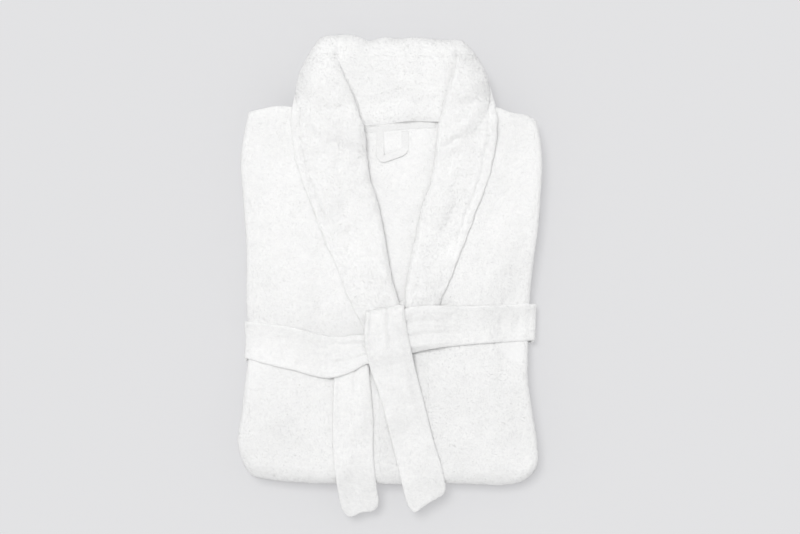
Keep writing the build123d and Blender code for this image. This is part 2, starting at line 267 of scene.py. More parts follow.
def pile(sheet, spacing, tall, seed, shows):
    """The terry's loops where they show, as a piece of small leaning three-sided points: about
    one in every square of the given spacing, at random over the faces, each foot a triangle
    sunk a little into the cloth, each tip out along the normal turned by a random lean. Every
    point has its own cell of the bake map. shows picks faces by their middles and normals."""
    mesh = sheet.data
    corners = np.empty(len(mesh.loops), np.int32)
    mesh.loops.foreach_get("vertex_index", corners)
    spots = np.empty(len(mesh.vertices) * 3)
    mesh.vertices.foreach_get("co", spots)
    quad = spots.reshape(-1, 3)[corners.reshape(-1, 4)] * 1000
    across = np.cross(quad[:, 2] - quad[:, 0], quad[:, 3] - quad[:, 1]) / 2
    area = np.linalg.norm(across, axis=1)
    normal = across / np.maximum(area, 1e-9)[:, None]
    rng = np.random.default_rng(seed)
    share = area * shows(quad.mean(axis=1), normal) / spacing**2
    face = np.repeat(np.arange(len(quad)), (share + rng.random(len(quad))).astype(int))
    u, v = rng.random((2, len(face), 1))
    a, b, c, d = quad[face].transpose(1, 0, 2)
    root = (a * (1 - u) + b * u) * (1 - v) + (d * (1 - u) + c * u) * v
    normal = normal[face]
    lean = rng.normal(scale=0.5, size=root.shape)
    side = np.cross(normal, lean)
    side /= np.linalg.norm(side, axis=1, keepdims=True)
    other = np.cross(normal, side)
    turn = 2 * np.pi * (rng.random((len(face), 1, 1)) + np.array([0, 1, 2])[:, None] / 3)
    foot = 0.36 * tall * (np.cos(turn) * side[:, None] + np.sin(turn) * other[:, None])
    foot = root[:, None] - 0.25 * normal[:, None] + foot
    tip = normal + lean
    tip = tip / np.linalg.norm(tip, axis=1, keepdims=True)
    tip = root + tip * tall * rng.uniform(0.55, 1.25, (len(face), 1))
    points = np.concatenate([foot, tip[:, None]], axis=1).reshape(-1, 3)
    faces = 4 * np.arange(len(face))[:, None, None] + np.array(
        [[0, 2, 1], [0, 1, 3], [1, 2, 3], [2, 0, 3]]
    )
    cells = int(np.ceil(np.sqrt(len(face))))
    cell = np.stack([np.arange(len(face)) % cells, np.arange(len(face)) // cells], axis=-1)
    layout = (cell[:, None] + np.array([[0.2, 0.2], [0.8, 0.2], [0.5, 0.8]])) / cells
    loops = bpy.data.meshes.new(sheet.name.replace("cloth", "loops"))
    loops.from_pydata(points * 0.001, [], faces.reshape(-1, 3))
    loops.shade_smooth()
    layout = np.repeat(layout[:, None], 4, axis=1).astype(np.float32)
    loops.uv_layers.new(name="OFBake").data.foreach_set("uv", layout.ravel())
    piece = bpy.data.objects.new(loops.name, loops)
    bpy.context.scene.collection.objects.link(piece)
    piece.data.materials.append(sheet.data.materials[0])
    return piece


PLY = 2.8  # one layer of pressed terry
PITCH = 3.1  # from one layer to the next
LEVEL_0 = 5.9  # underside of layer 0, above the belt beneath the bundle
FOLD_Y = -259.9  # where the skirt starts to turn up behind
HEM_FOLD_Y = 205.85  # where the hem starts to turn in
HEM_RUN = 157  # how far the hem runs on inside
BACK_FLAP, FRONT_FLAP = 11, 10  # layers that the folded-in sides lie on


def folded_line(top, low, hem, size):
    """Middle line of a panel seen from the side, as y, z and the direction into the fold:
    a run on top, a half turn at the skirt end, a run beneath, a half turn, and the hem."""
    z_top, z_low, z_hem = (LEVEL_0 + n * PITCH + PLY / 2 for n in (top, low, hem))
    turn = np.linspace(0, np.pi, 40)
    radius, hem_radius = (z_top - z_low) / 2, (z_hem - z_low) / 2
    y = np.concatenate([[SHOULDER_Y], FOLD_Y - radius * np.sin(turn)])
    z = np.concatenate([[z_top], z_low + radius * (1 + np.cos(turn))])
    y = np.concatenate([y, HEM_FOLD_Y + hem_radius * np.sin(turn), [HEM_FOLD_Y - HEM_RUN]])
    z = np.concatenate([z, z_low + hem_radius * (1 - np.cos(turn)), [z_hem]])
    run = np.insert(np.cumsum(np.hypot(np.diff(y), np.diff(z))), 0, 0)
    at = steps(run[-1], size)
    y, z = np.interp(at, run, y), np.interp(at, run, z)
    slope_y, slope_z = np.gradient(y, at), np.gradient(z, at)
    length = np.hypot(slope_y, slope_z)
    return y, z, -slope_z / length, slope_y / length, at, run[[1, 40, 41, 80]]


def side_fold(main, edge, radius, flap, sign):
    """Cross line of a panel's side, from its main part: x runs out to edge less radius, round
    the half turn and back by flap; depth goes from 0 to twice the radius."""
    turn = np.linspace(0, np.pi, 9)[1:]
    back = steps(1, 0.12, 0.05)[1:]
    radius, flap, edge = radius[:, None], flap[:, None], edge[:, None]
    x = np.hstack([edge - radius + radius * np.sin(turn), edge - radius - flap * back])
    depth = np.hstack([radius * (1 - np.cos(turn)), 2 * radius + 0 * flap * back])
    return np.hstack([main, sign * x]), np.hstack([0 * main, depth])


def panel(name, top, low, hem, size, edges, seed):
    """A whole panel, whose three runs lie on the layers top, low and hem. edges gives, for each
    side, a function of (y, on_top) for its x where it ends flat, or the layer its side flap is
    folded to on top. Beneath, the side is only turned in, with a wider fold on the fronts, which
    wrap round the edges of the layers inside them."""
    y, z, in_y, in_z, at, turns = folded_line(top, low, hem, size)
    on_top = at < turns[0]
    sides = []
    for sign, edge in zip((-1, 1), edges):
        if callable(edge):
            sides.append((sign, edge(y, on_top), None))
            continue
        wraps = edge == FRONT_FLAP
        tight = 1.5  # radius of a side that is only turned in
        top_radius = (top - edge) * PITCH / 2 + (tight if wraps else 0)
        low_radius = 6.0 if wraps else tight
        # How far out the fold's outer edge lies, on top, beneath and at the hem.
        top_outer, low_outer, hem_outer = (198.6, 198.6, 182) if wraps else (194, 182, 182)
        radius = np.interp(at, turns, [top_radius, low_radius, low_radius, tight])
        # The flap reaches 104 mm in on top, 14 mm beneath and 4 mm at the hem.
        flap = np.interp(at, turns, [104, 14, 14, 4])
        outer = np.interp(at, turns, [top_outer, low_outer, low_outer, hem_outer])
        sides.append((sign, outer, (radius, flap)))
    flat_ends = [
        edge if fold is None else sign * (edge - fold[0]) for sign, edge, fold in sides
    ]
    both_folded = sides[0][2] is not None and sides[1][2] is not None
    width = 380 if both_folded else 200  # about, between the two sides
    share = steps(1, size / width, 0.008)
    main = flat_ends[0][:, None] * (1 - share) + flat_ends[1][:, None] * share
    x, depth = main, 0 * main
    if sides[1][2] is not None:
        x, depth = side_fold(x, sides[1][1], *sides[1][2], 1)
    if sides[0][2] is not None:
        x, depth = x[:, ::-1], depth[:, ::-1]
        more_x, more_depth = side_fold(x[:, :0], sides[0][1], *sides[0][2], -1)
        x, depth = np.hstack([x, more_x]), np.hstack([depth, more_depth])
    middle = np.stack(
        [x, y[:, None] + in_y[:, None] * depth, z[:, None] + in_z[:, None] * depth], axis=-1
    )
    # Between the shoulders a panel ends 8 mm lower, under the collar.
    lower = 8 - 8 * ease(np.abs(x), 120, 136)
    middle[..., 1] -= lower * ease(middle[..., 1], 150, SHOULDER_Y) * on_top[:, None]
    return cloth(name, settle(middle), PLY, seed)


def srgb(code):
    """Linear colour of a hex sRGB code."""
    share = np.array([int(code[i : i + 2], 16) for i in (1, 3, 5)]) / 255
    linear = np.where(share <= 0.04045, share / 12.92, ((share + 0.055) / 1.055) ** 2.4)
    return (*linear.tolist(), 1.0)


def add(tree, kind, settings, **links):
    """Adds a node with its settings, and links its inputs from the sockets given by name."""
    node = tree.nodes.new(kind)
    for key, value in settings.items():
        if isinstance(key, int) or key in node.inputs:
            node.inputs[key].default_value = value
        else:
            setattr(node, key, value)
    for key, socket in links.items():
        tree.links.new(socket, node.inputs[key.replace("_", " ")])
    return node


def terry(name, light, shade, loop, bump, skirt_painted_shade=1.0):
    """Looped cotton terry: loops `loop` millimetres apart stand up at random, so that small
    hollows between them look darker. Patches some 70 mm wide, where the pile lies another way,
    are a shade duller. Towards the skirt the colour is painted darker, down to the factor given
    for it there: painted shade, for light that falls off away from the shoulders."""
    material = bpy.data.materials.new(name)
    material.use_nodes = True
    tree = material.node_tree
    shader = tree.nodes["Principled BSDF"]
    shader.inputs["Roughness"].default_value = 0.95
    shader.inputs["Specular IOR Level"].default_value = 0.15
    shader.inputs["Sheen Weight"].default_value = 0.5
    shader.inputs["Sheen Roughness"].default_value = 0.55
    shader.inputs["Subsurface Weight"].default_value = 0.12
    shader.inputs["Subsurface Radius"].default_value = (0.004, 0.004, 0.004)
    shader.inputs["Subsurface Scale"].default_value = 1.0
    place = add(tree, "ShaderNodeTexCoord", {}).outputs["Object"]
    loops = add(
        tree,
        "ShaderNodeTexVoronoi",
        {"feature": "SMOOTH_F1", "Scale": 1000 / loop, "Smoothness": 0.6, "Randomness": 1.0},
        Vector=place,
    )
    lie = add(
        tree,
        "ShaderNodeTexNoise",
        {"Scale": 1000 / (3 * loop), "Detail": 2.0, "Roughness": 0.6},
        Vector=place,
    )
    mix = add(tree, "ShaderNodeMath", {"operation": "MULTIPLY_ADD", 1: 0.5})
    tree.links.new(loops.outputs["Distance"], mix.inputs[0])
    tree.links.new(lie.outputs["Fac"], mix.inputs[2])
    ramp = add(tree, "ShaderNodeValToRGB", {})
    tree.links.new(mix.outputs[0], ramp.inputs["Fac"])
    ramp.color_ramp.elements[0].position = 0.35
    ramp.color_ramp.elements[0].color = srgb(light)
    ramp.color_ramp.elements[1].position = 1.0
    ramp.color_ramp.elements[1].color = srgb(shade)
    patches = add(
        tree,
        "ShaderNodeTexNoise",
        {"Scale": 1000 / 70, "Detail": 2.0, "Roughness": 0.6},
        Vector=place,
    )
    dull = add(
        tree,
        "ShaderNodeMapRange",
        {"From Min": 0.25, "From Max": 0.75, "To Min": 1.0, "To Max": 0.95},
        Value=patches.outputs["Fac"],
    )
    # Painted shade: the colour is scaled down from object Y 0.02 m to -0.17 m, towards the skirt, standing
    # in for light that falls off away from the shoulders.
    along = add(tree, "ShaderNodeSeparateXYZ", {}, Vector=place)
    greyer = add(
        tree,
        "ShaderNodeMapRange",
        {"From Min": 0.02, "From Max": -0.17, "To Min": 1.0, "To Max": skirt_painted_shade},
        Value=along.outputs["Y"],
    )
    both = add(tree, "ShaderNodeMath", {"operation": "MULTIPLY"})
    tree.links.new(dull.outputs["Result"], both.inputs[0])
    tree.links.new(greyer.outputs["Result"], both.inputs[1])
    tint = add(
        tree,
        "ShaderNodeVectorMath",
        {"operation": "SCALE"},
        Vector=ramp.outputs["Color"],
        Scale=both.outputs[0],
    )
    tree.links.new(tint.outputs["Vector"], shader.inputs["Base Color"])
    grain = add(
        tree,
        "ShaderNodeBump",
        {"Strength": bump, "Distance": 0.0012, "invert": True},
        Height=mix.outputs[0],
    )
    tree.links.new(grain.outputs["Normal"], shader.inputs["Normal"])
    return material


# Robe terry: looped cotton, bleached and washed soft. It is bright and quite matt, with a faint
# bloom where it is seen at a slant. Real loops stand about 1 mm apart, too fine to show, and
# are drawn 2 mm apart.
# Towards the skirt this colour is painted 5% darker: painted shade for the dimmer light there.
robe_terry = terry("white_robe_terry", "#FFFFFE", "#F7F7F7", 2.0, 0.45, skirt_painted_shade=0.95)


def finish_cloth(piece, material, slot, body, *nodes):
    """Puts the material on, hides the solids the piece stands for, and ties it to the body it moves with."""
    piece.data.materials.append(material)
    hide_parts(*nodes)
    if body:
        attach(piece, body)


def outside(middle, normal):
    """The faces that can be seen: those looking up near the top, and outwards at the sides and
    at the skirt end, clear of the table."""
    x, y, z = middle.T
    top = (normal[:, 2] > 0.2) & (z > 38)
    side = (normal[:, 0] * np.sign(x) > 0.3) & (np.abs(x) > 165)
    end = (normal[:, 1] < -0.3) & (y < -262)
    return (top | side | end) & (z > TABLE_PLY)


def looped(piece, spacing, tall, seed, body, shows=outside):
    """Stands loops on a finished piece, which move with the same body."""
    loops = pile(piece, spacing, tall, seed, shows)
    if body:
        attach(loops, body)
    return loops


def in_the_v(middle, normal):
    """The back's faces that show: in the V of the neck, and the folds at its sides."""
    x, y, z = middle.T
    return outside(middle, normal) & ((np.abs(x - 25) < 62) & (y > -60) | (np.abs(x) > 165))


back = panel("back_panel_cloth", 12, 2, 3, 3.6, (BACK_FLAP, BACK_FLAP), 11)
finish_cloth(back, robe_terry, "robe_terry", "bundle", "back_panel")
back_loops = looped(back, 2.1, 1.3, 111, "bundle", in_the_v)


# Front panels. Two lengths of the same terry, seamed to the back at the shoulders and sides.
# The right one closes over the left, and each ends at the neck along its lapel's roll line,
# given here as x over y.
right_roll = (
    [-112, -60, -40, -25, 11, 60, 102, 121, 155, 186, 206, 220, 250, 272, 304, 320],
    [14, 13, 11, 6, -3, -11, -20, -27, -33, -36, -39, -43, -53, -64, -76, -84],
)
left_roll = (
    [-112, -60, -36, 3, 55, 102, 121, 146, 186, 209, 228, 248, 272, 300, 320],
    [19, 19, 18, 23, 34, 45, 52, 58, 62, 65, 69, 76, 85, 90, 94],
)


def right_inner(y, on_top):
    """The right front ends just behind its roll line above the closing, and runs straight
    below it."""
    return np.where(on_top, through(y, *right_roll) - 8 * ease(y, -60, 20), 17)


def left_inner(y, on_top):
    """The left front ends behind its roll line too, and below the closing runs on under the
    right one."""
    above = through(y, *left_roll) + 8 * ease(y, -60, 20)
    return np.where(on_top, above + (-51 - above) * ease(y, -30, -72), -51)


right_front = panel("right_front_cloth", 14, 0, 5, 2.8, (FRONT_FLAP, right_inner), 12)
finish_cloth(right_front, robe_terry, "robe_terry", "bundle", "right_front_panel")
loops = looped(right_front, 2.1, 1.5, 112, "bundle")
left_front = panel("left_front_cloth", 13, 1, 4, 2.8, (left_inner, FRONT_FLAP), 13)
finish_cloth(left_front, robe_terry, "robe_terry", "bundle", "left_front_panel")
loops = looped(left_front, 2.1, 1.5, 113, "bundle")


# Front bands. The doubled facing along each front's closing edge, topstitched down; below the
# belt it lies nearly flush with the front, and it goes part of the way round the skirt's fold.
BAND_WIDE = 33
FOLD_CORE_Z = 29.0  # height of the middle of the skirt's fold
for side, name, inner, ply, seed in (
    (-1, "right_front_band", 16.0, 15, 14),
    (1, "left_front_band", 18.5, 14, 15),
):
    turn = np.radians(np.linspace(0, 75, 16))
    fold_radius = (ply - 0.3) * PITCH / 2
    down = np.concatenate([np.linspace(-62, -257, 90), FOLD_Y - fold_radius * np.sin(turn)])
    height = np.concatenate([np.ones(90), np.cos(turn)])
    across = steps(BAND_WIDE, 2.4)
    x = inner + side * across[None, :] + 0 * down[:, None]
    y = down[:, None] + 0 * x
    rise = LEVEL_0 + ply * PITCH - 1.2 - FOLD_CORE_Z
    z = FOLD_CORE_Z + rise * height[:, None] + 0 * x
    band = cloth(f"{name}_cloth", settle(np.stack([x, y, z], axis=-1)), 2.6, seed)
    finish_cloth(band, robe_terry, "robe_terry", "bundle", name)
    loops = looped(band, 2.1, 1.4, 100 + seed, "bundle")


# Back collar. The shawl collar behind the neck: doubled terry that stands up from the neck
# seam, rolls over in a full soft edge and falls again behind, under the shoulders.


def collar_half_width(y):
    """Half the collar's width: straight at the shoulders and rounding in to the top edge."""
    return through(
        y,
        [200, 232, 253, 275, 290, 300, 310, 319, 326],
        [133, 131, 131, 126, 120, 114, 105, 90, 61],
    )


def collar_height(x, y):
    """Height of the collar's upper face: hollow towards the neck seam, and full round the edge,
    most of all at the two sides where the lapels turn out."""
    from_side = collar_half_width(y) - np.abs(x)
    return (
        50
        + 7.0 * ease(y, 205, 300)
        + 3.5 * ease(np.abs(x), 40, 90) * ease(from_side, 0, 30)
        + 0.9 * ripple(x, y, 45, 21)
        + crease(x, y, (-32, 218), (46, 238), 7, 1.7)
        + crease(x, y, (-45, 228), (30, 252), 9, -1.2)
        + crease(x, y, (-40, 290), (50, 296), 12, 1.0)
        + crease(x, y, (-88, 330), (-40, 214), 4, -2.6)
        + crease(x, y, (97, 330), (67, 214), 4, -2.4)
        - 3.0 * bell(x + 74, 4) * bell(y - 303, 5)
        - 3.0 * bell(x - 89, 4) * bell(y - 300, 5)
    )


NECK_SEAM_Y = 203
COLLAR_TURN = 299  # y at which the collar starts to roll over
COLLAR_ROLL = 24  # how far the roll reaches beyond that
COLLAR_CORE = 24.0  # height of the middle of the roll
FALL_Z = 3.2  # height of the fall's middle, on the table
FALL_DEEP = 58


def collar_lie(x, y, rise):
    """Height of the collar's middle surface. rise is 1 on the upper side and 0 on the fall; both
    draw together towards the two sides, by the square root of 1 - s^10 at share s of the way."""
    share = np.clip(np.abs(x - 1) / collar_half_width(y), 0, 1)
    pinch = 0.02 + 0.98 * np.sqrt(1 - share**10)
    upper = collar_height(x, y) - 3
    return COLLAR_CORE + (FALL_Z + (upper - FALL_Z) * rise - COLLAR_CORE) * pinch


def collar_face(x, y):
    """Height of the collar's upper face, down to the middle of the roll at its top edge."""
    over = np.clip((y - COLLAR_TURN) / COLLAR_ROLL, 0, 0.999)
    return collar_lie(x, y, (1 + np.sqrt(1 - over**2)) / 2) + 2.9


turn = np.linspace(0, np.pi, 34)
y = steps(COLLAR_TURN - NECK_SEAM_Y, 2.2)[:-1] + NECK_SEAM_Y
y = np.concatenate([y, COLLAR_TURN + COLLAR_ROLL * np.sin(turn)])
rise = np.concatenate([np.ones(len(y) - len(turn)), (1 + np.cos(turn)) / 2])
fall = steps(FALL_DEEP, 3.0)[1:]
y = np.concatenate([y, COLLAR_TURN - fall])[:, None]
rise = np.concatenate([rise, 0 * fall])[:, None]
crowd = 0.92 * np.pi / 2  # the columns crowd together towards the two sides, as a sine does
across = np.sin(np.linspace(-1, 1, 122) * crowd) / np.sin(crowd)
x = 1 + collar_half_width(np.maximum(y, 232)) * across
z = collar_lie(x, np.maximum(y, 232) + 0 * x, rise)
x = x * (1 - 0.05 * (1 - rise) * ease(-y, -290, -241))
seam = through(x, [-60, -38, -20, 3, 28, 61, 80], [-1, 0.5, 0.5, 4.5, 7, 6, 6])
top_line = through(
    x,
    [-111, -99, -88, -77, -66, -55, -44, -33, -21, -10, 0, 40, 56, 78, 89, 100, 111],
    [2, 8.5, 7.5, 4.7, 4.8, 4, 1, -3.6, -1.5, 1.5, 0, 1, -1, -1.3, 1.5, 3, 0],
)
y = y + seam * ease(-y, -225, -203) * rise + top_line * ease(y, 285, 323)
thin = 1 - ease(y + 0 * x, NECK_SEAM_Y + seam, NECK_SEAM_Y + 11 + seam)
middle = np.stack([x, y + 0 * x, z - 1.4 * thin], axis=-1)
collar = cloth("back_collar_cloth", middle, 5.8 - 2.2 * thin, 23, nap=0.28)
finish_cloth(collar, robe_terry, "robe_terry", "bundle", "back_collar")


def facing_out(middle, normal):
    """The collar's faces that show: above, round its top edge and on the fall behind it."""
    out = (normal[:, 2] > -0.2) & (middle[:, 2] > 28) | (middle[:, 1] > 300)
    return out & (middle[:, 2] > 5)


loops = looped(collar, 2.1, 1.6, 123, "bundle", facing_out)


# Lapels. The collar's two ends, turned out over the fronts from the back of the neck to the
# belt. Doubled terry, full and rounded along the roll, flatter towards the edge, where a line of
# topstitching runs 12 mm in. The foot of each is held under the belt.
FRONT_TOP = 52.6  # upper face of the fronts


def lapel(name, side, roll, edge, seed):
    """One lapel: for each y a row from the roll line to the outer edge. Its lower face lies on
    the front, or on the collar above the shoulder, and its upper face stands a thickness above
    it that is fullest near the roll and at the neck."""
    foot = -112 if side < 0 else -102
    y = steps(318 - foot, 1.9)[::-1] + foot
    share = steps(1, 0.021, 0.014)
    roll_x = through(y, *roll) + 0.7 * ripple(y, 0 * y, 26, seed + 2)
    edge_x = through(y, *edge) + 0.9 * ripple(y, 0 * y, 30, seed + 3)
    x = roll_x[:, None] * (1 - share) + edge_x[:, None] * share
    y = y[:, None] + 0 * x
    from_edge = np.abs(edge_x[:, None] - x)
    from_roll = np.abs(x - roll_x[:, None])
    full = ease(y, 150, 215)
    thick = (
        5.6
        + 2.6 * bell(from_roll - 12, 16) * ease(y, -60, 60)
        + full * 6.5 * bell(from_roll - 30, 34)
        + full * 3.0 * ease(from_edge, 0, 22)
        + 1.1 * ripple(x, y, 44, seed)
        + 0.5 * ripple(x, y, 20, seed + 4)
        - 2.4 * bell(from_edge - 12, 2.8) * ease(y, 20, 80) * ease(-y, -235, -205)
        - 1.4 * bell(from_edge, 6) * (side > 0)
    )
    for a, b, wide, rise in lapel_creases[side]:
        thick = thick + crease(x, y, a, b, wide, rise)
    thick = thick * (1 - 0.8 * ease(y, 255, 305))
    rest = collar_face(x, y) - 0.6 - 1.6 * ease(y, 270, 312)
    under = FRONT_TOP + (rest - FRONT_TOP) * ease(y, 214, 250)
    under = under - (3.0 if side > 0 else 0.0) * ease(from_roll, 25, 60) * ease(-y, -200, -150)
    under = under - 4.6 * ease(-from_roll, -8, 0) * ease(y, -70, -40) * ease(-y, -228, -205)
    middle = np.stack([x, y, under + thick / 2], axis=-1)
    return cloth(name, settle(middle), thick, seed, nap=0.26)


right_edge = (
    [-112, -80, -41, 5, 47, 102, 122, 165, 214, 232, 253, 275, 297, 308, 320],
    [-24, -36, -56, -74, -93, -112, -120, -131, -138, -137, -131, -127, -118, -109, -94],
)
left_edge = (
    [-112, -90, -44, 5, 55, 102, 117, 151, 176, 213, 232, 253, 275, 297, 308, 320],
    [46, 52, 66, 86, 105, 121, 127, 136, 141, 144, 142, 137, 130, 119, 111, 98],
)
lapel_feet = {-1: (5.4, 14.0), 1: (28.1, 14.0)}
lapel_creases = {
    -1: (
        ((-136, 236), (-96, 170), 8, -3.4),
        ((-86, 228), (-66, 150), 6, -2.0),
        ((-100, 190), (-74, 110), 7, 1.8),
        ((-70, 110), (-40, 20), 8, -1.6),
    ),
    1: (
        ((142, 240), (104, 172), 8, -3.4),
        ((112, 214), (66, 176), 5, 1.9),
        ((98, 196), (60, 166), 5, -1.9),
        ((92, 120), (66, 40), 8, -1.6),
    ),
}
for side, word, roll, edge, wide, seed in (
    (-1, "right", right_roll, right_edge, 0.090, 31),
    (1, "left", left_roll, left_edge, 0.072, 32),
):
    piece = lapel(f"{word}_lapel_cloth", side, roll, edge, seed)
    finish_cloth(piece, robe_terry, "robe_terry", None, f"{word}_lapel")
    loops = looped(piece, 2.1, 1.6, 100 + seed, None)
    foot = np.array([*lapel_feet[side], 58.0]) * 0.001
    for part in (piece, loops):
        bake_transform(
            part, "bundle", f"lapel_{word}", tuple(foot - (0, 0.02, 0)), tuple(foot + (0, 0.09, 0))
        )
        # The back of the neck holds the lapel's upper end, so the turn dies away again above it.
        held = part.data.attributes["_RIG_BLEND"].data
        weight = np.empty(len(held), np.float32)
        held.foreach_get("value", weight)
        spots = np.empty(len(held) * 3, np.float32)
        part.data.vertices.foreach_get("co", spots)
        weight *= 1 - ease(spots.reshape(-1, 3)[:, 1] * 1000, 150, 262)
        held.foreach_set("value", weight.astype(np.float32))


# Neck tape and hanger loop. White cotton twill tape: one piece covers the neck seam, and a
# short length, both ends sewn in under it, makes the loop the robe hangs by.

# Twill tape: flat woven cotton, a little greyer than the terry. Its ribs, some 0.5 mm apart, are
# too fine to show, and are drawn as a shallow grain of 0.9 mm.
seam_tape = terry("white_twill_tape", "#FAFAF9", "#F0F0F0", 0.9, 0.3)
share = steps(1, 0.02, 0.008)[None, :]
rows = steps(9, 1.5, 0.8)[:, None]
x = -37 + 98 * share + 0 * rows
y = 207.0 - rows + 5.0 * ease(x, -30, 30)
z = 45.9 + 0 * x
tape = cloth("neck_tape_cloth", settle(np.stack([x, y, z], axis=-1)), 1.0, 41, nap=0.05)
finish_cloth(tape, seam_tape, "seam_tape", "bundle", "neck_tape")
corners = np.array(
    [[-15.5, 201], [-15.5, 161], [-12.5, 158.6], [15, 168.6], [18.5, 172], [18.5, 201]]
)
run = np.insert(np.cumsum(np.hypot(*np.diff(corners, axis=0).T)), 0, 0)
at = np.linspace(0, run[-1], 90)
line = np.stack([np.interp(at, run, corners[:, 0]), np.interp(at, run, corners[:, 1])], axis=-1)
soft = np.pad(line, ((4, 4), (0, 0)), mode="edge")
line = np.stack([np.convolve(soft[:, i], np.ones(9) / 9, "valid") for i in (0, 1)], axis=-1)
slope = np.gradient(line, axis=0)
slope /= np.hypot(*slope.T)[:, None]
across = steps(10, 1.2, 0.6)[None, :, None] - 5
flat = line[:, None] + np.stack([-slope[:, 1], slope[:, 0]], axis=-1)[:, None] * across
z = 46.1 + 2.2 * ease(-flat[..., 1:], -178, -166)
loop = cloth("hanger_loop_cloth", settle(np.concatenate([flat, z], axis=-1)), 1.0, 42, nap=0.04)
finish_cloth(loop, seam_tape, "seam_tape", "neck_loop", "hanger_loop")


# Sleeves, cuffs and pockets. Each sleeve is a tube of terry pressed flat and folded in behind
# the back, with its cuff turned up over the end. The patch pockets sit on the skirt's outside,
# which is underneath here, and the belt loops lie along the side seams.


def slab(name, x_range, y_range, z_range, size, seed, fuller=0):
    """A flat doubled piece filling the box given by its ranges, with rounded edges, and fuller
    by that much towards the shoulders."""
    x, y = np.meshgrid(
        x_range[0] + steps(x_range[1] - x_range[0], size),
        y_range[1] - steps(y_range[1] - y_range[0], size),
    )
    z = (z_range[0] + z_range[1]) / 2 + 0 * x
    thick = z_range[1] - z_range[0] + fuller * ease(y, -158, -130)
    return cloth(name, settle(np.stack([x, y, z], axis=-1)), thick, seed)


for side, word in ((-1, "right"), (1, "left")):
    near, far = sorted((side * 1.5, side * 197.0))
    sleeve = slab(
        f"{word}_sleeve_cloth", (near, far), (-247, 193), (27.9, 33.5), 4, 51 + side, fuller=3.6
    )
    finish_cloth(sleeve, robe_terry, "robe_terry", "bundle", f"{word}_sleeve")
    near, far = sorted((side * 0.8, side * 195.0))
    turn = np.linspace(0, np.pi, 12)
    y = np.concatenate([[-161], np.linspace(-165, -244, 26), -244 - 4.6 * np.sin(turn[1:-1])])
    y = np.concatenate([y, np.linspace(-244, -165, 26), [-161]])
    z = np.concatenate([np.full(27, 35.2), 30.6 + 4.6 * np.cos(turn[1:-1]), np.full(27, 26.0)])
    x = near + steps(far - near, 4)[None, :]
    middle = np.stack([x + 0 * y[:, None], y[:, None] + 0 * x, z[:, None] + 0 * x], axis=-1)
    cuff = cloth(f"{word}_cuff_cloth", settle(middle), 2.7, 53 + side)
    finish_cloth(cuff, robe_terry, "robe_terry", "bundle", f"{word}_cuff")
    near, far = sorted((side * 24.0, side * 177.0))
    pocket = slab(f"{word}_pocket_cloth", (near, far), (-71, 97), (3.3, 5.7), 2.6, 55 + side)
    finish_cloth(pocket, robe_terry, "robe_terry", "bundle", f"{word}_pocket")
    near, far = sorted((side * 80.2, side * 89.4))
    keeper = slab(
        f"{word}_belt_loop_cloth", (near, far), (-234, -176), (37.0, 39.5), 1.6, 57 + side
    )
    finish_cloth(keeper, robe_terry, "belt_terry", "bundle", f"{word}_belt_loop")


# Belt. A tube of terry turned right side out and pressed, 55 mm wide and about 1.5 m long. It
# goes once round the whole bundle; one end crosses over the wrap and hangs down in front, and
# the other comes out from under the wrap beside it.

# Belt terry: the robe's own cloth with its loops pressed flatter by tying, so that its grain,
# drawn coarser than it is like the robe's, is closer. Its colour is a little greyer than the
# robe's: painted shade, for the dimmer light over the belt and its ends.
belt_terry = terry("white_belt_terry", "#FDFDFC", "#F3F3F3", 1.8, 0.4)


def wrap_height(x):
    """Height of the wrap's lower face: on the fronts at the sides, and over the lapels' feet and
    the rear tail in the middle."""
    return through(
        x,
        [-206, -120, -92, -78, 60, 84, 206],
        [FRONT_TOP, FRONT_TOP, 54.5, 58.4, 57.5, 50.4, 49.6],
    )


def cover(x, low, high, soft):
    """1 between low and high, dying away over the soft distance outside them."""
    return ease(x, low - soft, low) * ease(-x, -high - soft, -high)


def under_wrap(x, y):
    """Height of what lies under the wrap at each point: the fronts, with the lapels' feet on
    them down to their ends, and the rear tail from its upper end."""
    right_foot = cover(x, through(y, *right_edge), through(y, *right_roll), 16)
    right_foot = right_foot * ease(y, -122, -108)
    left_foot = cover(x, through(y, *left_roll), through(y, *left_edge), 40) * ease(y, -112, -94)
    rear = cover(x, -80, -32, 14) * ease(-y, 94, 108)
    raised = np.maximum(np.maximum(right_foot, left_foot), rear)
    on_left = ease(x, 10, 40)
    return FRONT_TOP - 3.0 * on_left + (5.8 + 2.4 * left_foot * on_left) * raised


BELT_HALF = 27.5  # half the belt's width
CORNER_X = 188  # the wrap turns down the sides from here
CORNER = 17.0  # radius of that turn
HALF_PLY = 2.9  # half the wrap's thickness on top
UNDER_Z = 1.6  # middle of the wrap beneath the bundle
turn = np.linspace(0, np.pi / 2, 10)[1:-1]
top_x = np.linspace(-CORNER_X, CORNER_X, 160)
low_x = np.linspace(CORNER_X, -CORNER_X, 130)
x = np.concatenate([
    top_x,
    CORNER_X + CORNER * np.sin(turn),
    np.full(8, CORNER_X + CORNER),
    CORNER_X + CORNER * np.cos(turn),
    low_x,
    -CORNER_X - CORNER * np.sin(turn),
    np.full(8, -CORNER_X - CORNER),
    -CORNER_X - CORNER * np.cos(turn),
])
right_top, left_top = wrap_height(np.array([-CORNER_X, CORNER_X])) + HALF_PLY
z = np.concatenate([
    wrap_height(top_x) + HALF_PLY,
    left_top - CORNER + CORNER * np.cos(turn),
    np.linspace(left_top - CORNER, UNDER_Z + CORNER, 8),
    UNDER_Z + CORNER - CORNER * np.sin(turn),
    np.full(130, UNDER_Z),
    UNDER_Z + CORNER - CORNER * np.cos(turn),
    np.linspace(UNDER_Z + CORNER, right_top - CORNER, 8),
    right_top - CORNER + CORNER * np.sin(turn),
])
on_top = ease(z, 20, 45)
